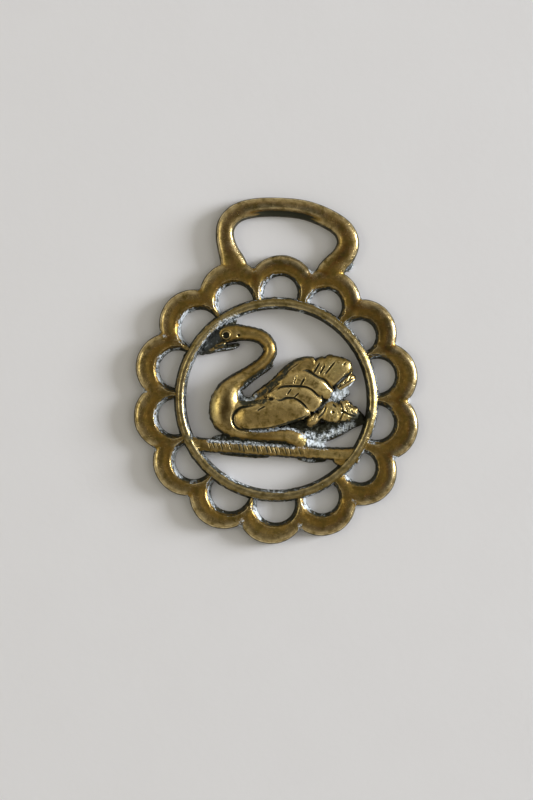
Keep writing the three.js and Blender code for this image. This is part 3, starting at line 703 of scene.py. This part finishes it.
# walls facing the light on the right are painted pale: crust and painted highlight
litWallSheenAndCrust = a["litWallSheenAndCrust"][0] + a["litWallSheenAndCrust"][1] * wallPatch
litWallSheenAndCrust *= np.where(radius > 24.2, 1, a["ringShare"])
crust = np.maximum(crust, inner * step(0.25, 0.7, facing) * litWallSheenAndCrust)
notch = step(*a["notch"], lobeFar) * (1 - step(*a["notchGap"], nextFar - lobeFar))
notch *= (radius > a["notchOutside"]) & (co[:, 1] < a["lobesEnd"])
everywhere, onWalls, inPatches = a["notchCrust"]
crust = np.maximum(crust, notch * (everywhere + onWalls * steep + inPatches * wallPatch))
# the strap-worn band is painted dark in stripes: dirt, and a painted dark reflection on its slope
strapDirtAndShade, strapBands, strapPitch = a["strapDirtAndShade"]
dirtAndShade = np.maximum(cutMark, worn * (strapDirtAndShade + strapBands * np.sin(fromWorn * strapPitch)))
for strength, reach, line in tarnishAndShadeLines:
    smear = strength * np.exp(-(awayFrom(flatXY, line) / reach) ** 2)
    dirtAndShade = np.maximum(dirtAndShade, smear * (0.75 + 0.6 * grain))
# the low webs between the parts are painted dark: dirt and painted shade
dirtAndShade = np.maximum(dirtAndShade, lowWeb * a["webDirtAndShade"])
# walls facing away from the light are painted dark: painted shade
dirtAndShade = np.maximum(dirtAndShade, inner * step(0.1, 0.6, -facing) * (0.75 + 0.5 * grain))
dirtAndShade = np.clip(dirtAndShade, 0, 1)
rubbed = step(*a["rubbed"], co[:, 2]) * inFigure
groundLow, groundHigh, groundShare = a["rubbedGround"]
onGround = inFigure * groundShare * step(groundLow, groundHigh, co[:, 2])
rubbed = np.maximum(rubbed, onGround * (np.abs(co[:, 1] - a["groundY"]) < a["groundHalf"]))
dullBy, dullReach, dullLine = a["dullCovert"]
rubbed *= 1 - dullBy * np.exp(-(awayFrom(flatXY, dullLine) / dullReach) ** 4)
onRing = np.exp(-((radius - a["ringAt"]) / a["ringReach"]) ** 6) * (co[:, 2] > 2.6)
bill = np.exp(-(awayFrom(flatXY, a["bill"]) / a["billReach"]) ** 4) * (co[:, 2] < 2.7)

# places painted brighter (above 0: handled wear and painted highlight) and duller (below 0: tarnish and painted
# shade): how much, reach in x and y, and where
toneAndLightPatches = [
    (0.90, 1.0, 4.2, -14.6, -2.5), (-0.45, 0.9, 4.5, -11.9, -3.3), (0.60, 0.8, 2.0, -9.7, 0.2),
    (-0.60, 0.9, 2.8, -10.4, -4.6), (-0.40, 5.0, 1.0, -3.0, -9.2), (-0.35, 3.4, 2.6, -6.0, 7.2),
    (-0.60, 5.0, 1.6, -12.0, -11.8), (0.6, 3.5, 1.0, 13.0, -12.5), (0.90, 1.4, 1.0, 7.8, -9.7),
    (0.35, 3.0, 2.5, 9.5, 4.0),
    (-0.55, 0.8, 3.2, -1.0, 11.5), (-0.3, 1.6, 5.0, -9.8, 40.0),
    (-0.6, 0.8, 3.4, -11.1, -0.6), (-0.75, 1.1, 3.6, -12.4, -2.4),
    (0.6, 1.0, 1.0, 11.5, 3.0), (0.7, 1.3, 1.3, 17.5, -1.8), (0.4, 1.2, 1.2, 14.0, -2.8),
    (0.45, 2.4, 1.3, 13.0, 8.8),
    (-0.6, 3.5, 3.5, 21.8, 17.4), (0.8, 1.0, 0.9, 6.7, -9.5), (-0.35, 3.0, 3.0, -22.0, -18.0),
    (0.25, 5.0, 1.5, -8.0, 15.2), (0.3, 3.0, 3.5, -13.0, 32.0), (0.2, 5.0, 2.0, -1.0, -31.5),
    (-0.25, 8.0, 1.2, 0.0, -12.4), (-0.9, 2.2, 11.0, -22.8, 0.0), (-0.4, 12.0, 2.0, 0.0, -22.8),
    (0.4, 1.2, 7.0, 23.5, -3.0),
    (0.55, 1.3, 1.2, 12.2, 1.7), (0.65, 2.4, 1.7, 14.6, -2.0), (0.50, 1.6, 1.6, 17.0, 8.0),
    (0.50, 3.4, 2.3, 13.0, 8.0),
    (0.30, 1.0, 1.0, 10.0, -1.6), (-0.60, 4.5, 4.5, 20.3, 16.2), (-0.30, 4.0, 4.0, -20.3, -16.2),
    (-0.20, 3.0, 4.0, 26.5, 5.8), (-0.35, 3.0, 4.0, 26.5, -5.8), (-0.20, 3.0, 4.0, -26.5, 5.8),
    (-0.30, 2.5, 5.0, -12.5, 38.0)]
toneAndLight = np.zeros(count)
for strength, reachX, reachY, x, y in toneAndLightPatches:
    toneAndLight += strength * np.exp(-((co[:, 0] - x) / reachX) ** 2 - ((co[:, 1] - y) / reachY) ** 2)
toneAndLight = np.clip(toneAndLight * (1 + 0.5 * noiseAt(co, 1.4, 14)), -1, 1)
brightened = np.clip(toneAndLight, 0, 1)
# brightened places lose part of their dark wall and hollow paint
steep *= 1 - 0.75 * brightened
hollow *= 1 - 0.6 * brightened
crust[onBack] *= a["backCrust"]
dirtAndShade[onBack] *= a["backDirt"]
hollow[onBack] = a["backHollow"]
steep[onBack] = a["backSteep"]
toneAndLight[onBack] = a["backTone"]


def paintMask(name, values):
    layer = casting.attributes.new(name, "FLOAT", "POINT")
    layer.data.foreach_set("value", values.astype(np.float32))


co *= mm
settle()
masks = {"hollow": hollow, "proud": proud, "steep": steep, "crust": crust, "dirtAndShade": dirtAndShade, "bill": bill,
         "rubbed": rubbed, "ring": onRing, "toneAndLight": toneAndLight, "brownShadeBand": brownShadeBand}
for name, values in masks.items():
    paintMask(name, values)
print("masks")


# colours, roughness and grain of the brass
patina = {
    "bright": (0.365, 0.218, 0.048), "warm": (0.26, 0.122, 0.021), "brown": (0.095, 0.050, 0.012),
    "olive": (0.18, 0.132, 0.028), "rubbed": (0.84, 0.63, 0.26), "worn": (0.88, 0.735, 0.41),
    "dullAndShade": (0.10, 0.062, 0.018), "handledAndSheen": (0.84, 0.68, 0.28), "dark": (0.030, 0.030, 0.014),
    "crust": (0.66, 0.71, 0.73), "fleck": (0.05, 0.06, 0.06), "bill": (0.085, 0.095, 0.095),
    "roughness": 0.30, "proudRoughness": 0.2, "grimeRoughness": 0.62, "crustRoughness": 0.85,
    "cloudScale": 150, "blotchScale": 620, "speckScale": 2600, "gritScale": 4200, "clumpScale": 1500,
    "bumpStrength": 0.35, "bumpDistance": 0.00012,
}


class Nodes:
    # short hands for building a material
    def __init__(self, material):
        material.use_nodes = True
        self.tree = material.node_tree
        self.shader = self.tree.nodes["Principled BSDF"]
        self.coords = self.add("ShaderNodeTexCoord").outputs["Object"]

    def add(self, kind, **settings):
        node = self.tree.nodes.new(kind)
        for key, value in settings.items():
            setattr(node, key, value)
        return node

    def put(self, socket, value):
        if isinstance(value, bpy.types.NodeSocket):
            self.tree.links.new(value, socket)
        elif isinstance(value, tuple):
            socket.default_value = (*value, 1)[:4]
        else:
            socket.default_value = value

    def math(self, operation, a, b=0.0, clamp=False):
        node = self.add("ShaderNodeMath", operation=operation, use_clamp=clamp)
        self.put(node.inputs[0], a)
        self.put(node.inputs[1], b)
        return node.outputs[0]

    def mix(self, factor, a, b, blend="MIX"):
        node = self.add("ShaderNodeMix", data_type="RGBA", blend_type=blend)
        self.put(node.inputs["Factor"], factor)
        self.put(node.inputs[6], a)
        self.put(node.inputs[7], b)
        return node.outputs[2]

    def blend(self, factor, a, b):
        node = self.add("ShaderNodeMix", data_type="FLOAT")
        self.put(node.inputs[0], factor)
        self.put(node.inputs[2], a)
        self.put(node.inputs[3], b)
        return node.outputs[0]

    def ease(self, value, low, high):
        node = self.add("ShaderNodeMapRange", interpolation_type="SMOOTHSTEP")
        self.put(node.inputs["Value"], value)
        self.put(node.inputs["From Min"], low)
        self.put(node.inputs["From Max"], high)
        return node.outputs["Result"]

    def scaled(self, value, amount):
        return self.math("MULTIPLY", value, amount)

    def around(self, value, amount):
        # a noise turned to a swing both ways
        return self.scaled(self.math("SUBTRACT", value, 0.5), amount)

    def noise(self, scale, detail=3.0, roughness=0.55, distortion=0.0, vector=None):
        node = self.add("ShaderNodeTexNoise")
        self.put(node.inputs["Vector"], vector or self.coords)
        self.put(node.inputs["Scale"], scale)
        self.put(node.inputs["Detail"], detail)
        self.put(node.inputs["Roughness"], roughness)
        self.put(node.inputs["Distortion"], distortion)
        return node.outputs["Fac"]

    def mask(self, name):
        return self.add("ShaderNodeAttribute", attribute_name=name).outputs["Fac"]

    def bump(self, height, strength, distance):
        node = self.add("ShaderNodeBump")
        self.put(node.inputs["Height"], height)
        self.put(node.inputs["Strength"], strength)
        self.put(node.inputs["Distance"], distance)
        self.put(self.shader.inputs["Normal"], node.outputs["Normal"])

    def stretched(self, scale, turn):
        node = self.add("ShaderNodeMapping")
        self.put(node.inputs["Vector"], self.coords)
        node.inputs["Scale"].default_value = scale
        node.inputs["Rotation"].default_value = (0, 0, math.radians(turn))
        return node.outputs["Vector"]


def makeBrass():
    p = patina
    material = bpy.data.materials.new("agedBrass")
    n = Nodes(material)
    hollowMask, proudMask, steepMask = n.mask("hollow"), n.mask("proud"), n.mask("steep")
    crustMask, dirtAndShadeMask, billMask = n.mask("crust"), n.mask("dirtAndShade"), n.mask("bill")
    toneAndLight = n.mask("toneAndLight")
    cloud = n.noise(p["cloudScale"], 4, 0.6, 0.6)
    blotch = n.noise(p["blotchScale"], 5, 0.65, 0.4)
    speck = n.noise(p["speckScale"], 4, 0.7)
    grit = n.noise(p["gritScale"], 5, 0.75)
    scratchA = n.noise(900, 3, 0.6, 0.3, n.stretched((1, 14, 1), 38))
    scratchB = n.noise(1100, 3, 0.6, 0.3, n.stretched((15, 1, 1), -22))

    # polished metal, from bright through warm to brown, with fine scratches; the brown band is part patina,
    # part painted reflection
    patinaAndShadeMask = n.math("ADD", n.mask("brownShadeBand"), n.around(cloud, 1.6))
    top = n.mix(n.ease(patinaAndShadeMask, 0.1, 0.6), p["bright"], p["warm"])
    top = n.mix(n.ease(patinaAndShadeMask, 0.5, 1.1), top, p["brown"])
    top = n.mix(n.scaled(n.ease(blotch, 0.42, 0.66), 0.75), top, p["olive"])
    top = n.mix(n.scaled(n.ease(speck, 0.55, 0.72), 0.35), top, p["dark"])
    lines = n.math("MAXIMUM", n.ease(scratchA, 0.63, 0.72), n.ease(scratchB, 0.65, 0.74))
    top = n.mix(n.scaled(lines, 0.22), top, p["worn"])
    top = n.mix(n.math("MULTIPLY", n.mask("rubbed"), n.ease(blotch, 0.7, 0.4)), top, p["rubbed"])
    top = n.mix(n.scaled(n.mask("ring"), 0.65), top, p["olive"])
    # brighter places: handled wear and painted highlight
    handledAndSheen = n.math("MULTIPLY", n.math("MAXIMUM", toneAndLight, 0.0), n.ease(blotch, 0.75, 0.35))
    top = n.mix(handledAndSheen, top, p["handledAndSheen"])
    # duller places: tarnish and painted shade
    top = n.mix(n.scaled(n.math("MAXIMUM", n.scaled(toneAndLight, -1.0), 0.0), 0.85), top, p["dullAndShade"])
    rub = n.math("MULTIPLY", proudMask, n.ease(blotch, 0.75, 0.3), True)
    top = n.mix(n.scaled(rub, 0.75), top, p["worn"])

    # tarnish gathers in hollows and on the walls, broken up by the grain; the dark walls are also painted shade
    # along the outlines
    grimeAndShade = n.math("ADD", n.scaled(hollowMask, 1.25), n.scaled(steepMask, 1.1))
    grimeAndShade = n.math("MAXIMUM", grimeAndShade, n.scaled(dirtAndShadeMask, 1.35))
    grimeAndShade = n.ease(n.math("ADD", grimeAndShade, n.around(blotch, 0.55)), 0.30, 0.95)
    colour = n.mix(grimeAndShade, top, p["dark"])
    colour = n.mix(n.scaled(billMask, 0.9), colour, p["bill"])

    # pale crust, ragged and flecked with black
    ragged = n.math("ADD", crustMask, n.around(grit, 2.2))
    pale = n.ease(n.math("ADD", ragged, n.around(blotch, 0.7)), 0.42, 0.72)
    clump = n.noise(p["clumpScale"], 3, 0.6)
    fleck = n.math("ADD", n.scaled(speck, 0.5), n.scaled(clump, 0.5))
    fleck = n.ease(n.math("ADD", fleck, n.scaled(n.ease(crustMask, 0.8, 1.4), 0.22)), 0.46, 0.55)
    colour = n.mix(pale, colour, n.mix(fleck, p["fleck"], p["crust"]))

    metal = n.math("SUBTRACT", 1.0, n.math("MAXIMUM", pale, n.scaled(grimeAndShade, 0.55)), True)
    rough = n.math("ADD", n.blend(proudMask, p["roughness"], p["proudRoughness"]), n.around(blotch, 0.2))
    rough = n.blend(grimeAndShade, rough, p["grimeRoughness"])
    rough = n.blend(pale, rough, p["crustRoughness"])
    n.put(n.shader.inputs["Base Color"], colour)
    n.put(n.shader.inputs["Metallic"], metal)
    n.put(n.shader.inputs["Roughness"], n.math("MINIMUM", rough, 1.0, True))

    height = n.math("ADD", n.scaled(speck, 0.35), n.scaled(blotch, 0.6))
    height = n.math("SUBTRACT", height, n.scaled(lines, 0.25))
    height = n.math("ADD", height, n.math("MULTIPLY", grit, n.blend(pale, 0.15, 3.2)))
    n.bump(height, p["bumpStrength"], p["bumpDistance"])
    return material


# flat places need fewer faces than the engraved ones
faceTarget, downward = 190000, -0.9
slimming = newObject("slimming", casting)
slim = slimming.modifiers.new("slim", "DECIMATE")
slim.ratio = faceTarget / sum(len(poly.vertices) - 2 for poly in casting.polygons)
casting = settled(slimming)
brass = newObject("castSwanBrass", casting)
# smooth everywhere but on the flat back
faceNormals = np.empty(len(casting.polygons) * 3, np.float32)
casting.polygons.foreach_get("normal", faceNormals)
casting.polygons.foreach_set("use_smooth", faceNormals[2::3] > downward)
casting.materials.clear()
casting.materials.append(makeBrass())
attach(brass, "root")
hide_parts("horse_brass")
print("brass:", sum(len(poly.vertices) - 2 for poly in casting.polygons), "triangles")


# angles in degrees, distances of the lights in metres and of the camera in millimetres
studio = {
    "view": 2.5, "offset": (-2.316, -0.118), "distance": 422.0, "lens": 80.0,
    "keyPower": 340.0, "keyTurn": 11.0, "keyRise": 15.5, "keySize": (1.9, 1.45), "keyAway": 5.0,
    "skyPower": 12.0, "skyTurn": 11.0, "skyRise": 42.0, "skySize": (2.0, 1.8), "skyAway": 3.0,
    "fillPower": 6.5, "fillTurn": 172.0, "fillRise": 45.0, "fillSize": (1.3, 1.2), "fillAway": 3.0,
    "keyTint": (0.955, 0.985, 1.06), "skyTint": (0.955, 0.985, 1.06), "fillTint": (1.0, 0.96, 0.68),
    "worldTint": (1.0, 0.955, 0.86), "zenith": 0.185, "aloft": 0.40, "horizon": 0.35, "aloftAt": 0.72,
}

floorPaint = {"half": 1.6, "gap": 0.00002, "dark": (0.79, 0.775, 0.77), "light": (0.815, 0.805, 0.80),
              "cloudScale": 60, "grainScale": 500, "roughness": 0.65,
              "bumpStrength": 0.12, "bumpDistance": 0.0002}


def makeFloor():
    p = floorPaint
    bm = bmesh.new()
    bmesh.ops.create_grid(bm, x_segments=2, y_segments=2, size=p["half"])
    bmesh.ops.translate(bm, verts=bm.verts, vec=(0, 0, -p["gap"]))
    mesh = bpy.data.meshes.new("floor")
    bm.to_mesh(mesh)
    bm.free()
    floor = newObject("floor", mesh)
    material = bpy.data.materials.new("palePaint")
    n = Nodes(material)
    n.put(n.shader.inputs["Base Color"], n.mix(n.noise(p["cloudScale"], 4, 0.5), p["dark"], p["light"]))
    n.put(n.shader.inputs["Roughness"], p["roughness"])
    n.bump(n.noise(p["grainScale"], 4, 0.6), p["bumpStrength"], p["bumpDistance"])
    mesh.materials.append(material)


def addPanel(name):
    turn, rise, away, size, power, tint = (studio[name + part] for part in
                                           ("Turn", "Rise", "Away", "Size", "Power", "Tint"))
    light = bpy.data.lights.new(name, "AREA")
    light.shape = "RECTANGLE"
    light.size, light.size_y = size
    light.energy = power
    light.color = tint
    obj = newObject(name, light)
    a, e = math.radians(turn + studio["view"]), math.radians(rise)
    spot = Vector((math.cos(a) * math.cos(e), math.sin(a) * math.cos(e), math.sin(e))) * away
    obj.location = spot
    obj.rotation_euler = spot.to_track_quat("Z", "Y").to_euler()


def setStudio():
    s = studio
    world = bpy.data.worlds.new("studio")
    bpy.context.scene.world = world
    world.use_nodes = True
    tree = world.node_tree
    # a dim ceiling over a brighter room
    where = tree.nodes.new("ShaderNodeTexCoord")
    split = tree.nodes.new("ShaderNodeSeparateXYZ")
    ramp = tree.nodes.new("ShaderNodeValToRGB")
    tree.links.new(where.outputs["Generated"], split.inputs[0])
    tree.links.new(split.outputs["Z"], ramp.inputs["Fac"])
    tree.links.new(ramp.outputs["Color"], tree.nodes["Background"].inputs["Color"])
    ramp.color_ramp.elements[0].position, ramp.color_ramp.elements[1].position = 0.0, 1.0
    ramp.color_ramp.elements.new(s["aloftAt"])
    ramp.color_ramp.interpolation = "EASE"
    for element, level in zip(ramp.color_ramp.elements, (s["horizon"], s["aloft"], s["zenith"])):
        element.color = (*(level * part for part in s["worldTint"]), 1)
    for name in ("key", "sky", "fill"):
        addPanel(name)
    tilt = math.radians(s["view"])
    right = Vector((math.cos(tilt), math.sin(tilt), 0))
    up = Vector((-math.sin(tilt), math.cos(tilt), 0))
    lens = bpy.data.cameras.new("camera")
    lens.lens = s["lens"]
    camera = newObject("camera", lens)
    camera.location = (right * s["offset"][0] + up * s["offset"][1] + Vector((0, 0, s["distance"]))) * mm
    camera.rotation_euler = (0, 0, tilt)
    bpy.context.scene.camera = camera
    bpy.context.scene.view_settings.view_transform = "Standard"


makeFloor()
setStudio()
print("floor, light and camera")
